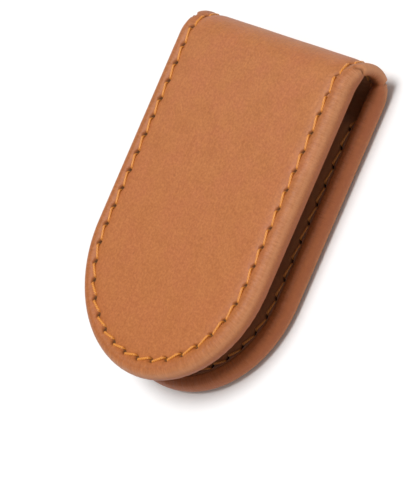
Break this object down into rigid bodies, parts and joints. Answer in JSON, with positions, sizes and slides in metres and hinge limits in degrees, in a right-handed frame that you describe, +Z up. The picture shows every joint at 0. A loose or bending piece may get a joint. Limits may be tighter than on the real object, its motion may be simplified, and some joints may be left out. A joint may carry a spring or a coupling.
{
  "type": "money clip",
  "caption": "Folded leather money clip with rounded flaps, turned and stitched edges, a lining, and magnets hidden in stiffened flaps that open flat at the fold.",
  "frame": {"origin": "middle of the base of the folded clip's box, on the surface that the back flap lies on", "axes": "+Y runs along the clip to the fold, +Z is up through the two flaps, +X is across the strap"},
  "size_m": [0.0476, 0.0696, 0.013],
  "materials": {
    "leather": "smooth tan leather with a soft satin polish",
    "lining": "matt tan lining leather with a fine nap",
    "board": "grey-brown pressed fibre board, matt",
    "magnet": "nickel-plated disc magnet, satin",
    "needle_thread": "waxed golden-orange twisted thread",
    "bobbin_thread": "golden-orange twisted thread"
  },
  "bodies": {
    "back_flap": {"back_leather": "leather", "back_lining": "lining", "back_board": "board", "back_magnet_left": "magnet", "back_magnet_right": "magnet", "back_needle_thread": "needle_thread", "back_bobbin_thread": "bobbin_thread"},
    "fold_1": {"fold_1_leather": "leather", "fold_1_lining": "lining", "fold_1_needle_thread": "needle_thread", "fold_1_bobbin_thread": "bobbin_thread"},
    "fold_2": {"fold_2_leather": "leather", "fold_2_lining": "lining", "fold_2_needle_thread": "needle_thread", "fold_2_bobbin_thread": "bobbin_thread"},
    "fold_3": {"fold_3_leather": "leather", "fold_3_lining": "lining", "fold_3_needle_thread": "needle_thread", "fold_3_bobbin_thread": "bobbin_thread"},
    "fold_4": {"fold_4_leather": "leather", "fold_4_lining": "lining", "fold_4_needle_thread": "needle_thread", "fold_4_bobbin_thread": "bobbin_thread"},
    "front_flap": {"front_leather": "leather", "front_lining": "lining", "front_board": "board", "front_magnet_left": "magnet", "front_magnet_right": "magnet", "front_needle_thread": "needle_thread", "front_bobbin_thread": "bobbin_thread"}
  },
  "joints": [
    {"name": "bend_1", "type": "hinge", "parent": "back_flap", "child": "fold_1", "pos_m": [0, 0.03002, 0.0012], "axis": [-1, 0, 0], "range_deg": [-0.7, 36], "stiffness_Nm_per_rad": 0.8},
    {"name": "bend_2", "type": "hinge", "parent": "fold_1", "child": "fold_2", "pos_m": [0, 0.03281, 0.00322], "axis": [-1, 0, 0], "range_deg": [-0.7, 36], "stiffness_Nm_per_rad": 0.8},
    {"name": "bend_3", "type": "hinge", "parent": "fold_2", "child": "fold_3", "pos_m": [0, 0.03387, 0.0065], "axis": [-1, 0, 0], "range_deg": [-0.7, 36], "stiffness_Nm_per_rad": 0.8},
    {"name": "bend_4", "type": "hinge", "parent": "fold_3", "child": "fold_4", "pos_m": [0, 0.03281, 0.00978], "axis": [-1, 0, 0], "range_deg": [-0.7, 36], "stiffness_Nm_per_rad": 0.8},
    {"name": "bend_5", "type": "hinge", "parent": "fold_4", "child": "front_flap", "pos_m": [0, 0.03002, 0.0118], "axis": [-1, 0, 0], "range_deg": [-0.7, 36], "stiffness_Nm_per_rad": 0.8}
  ]
}
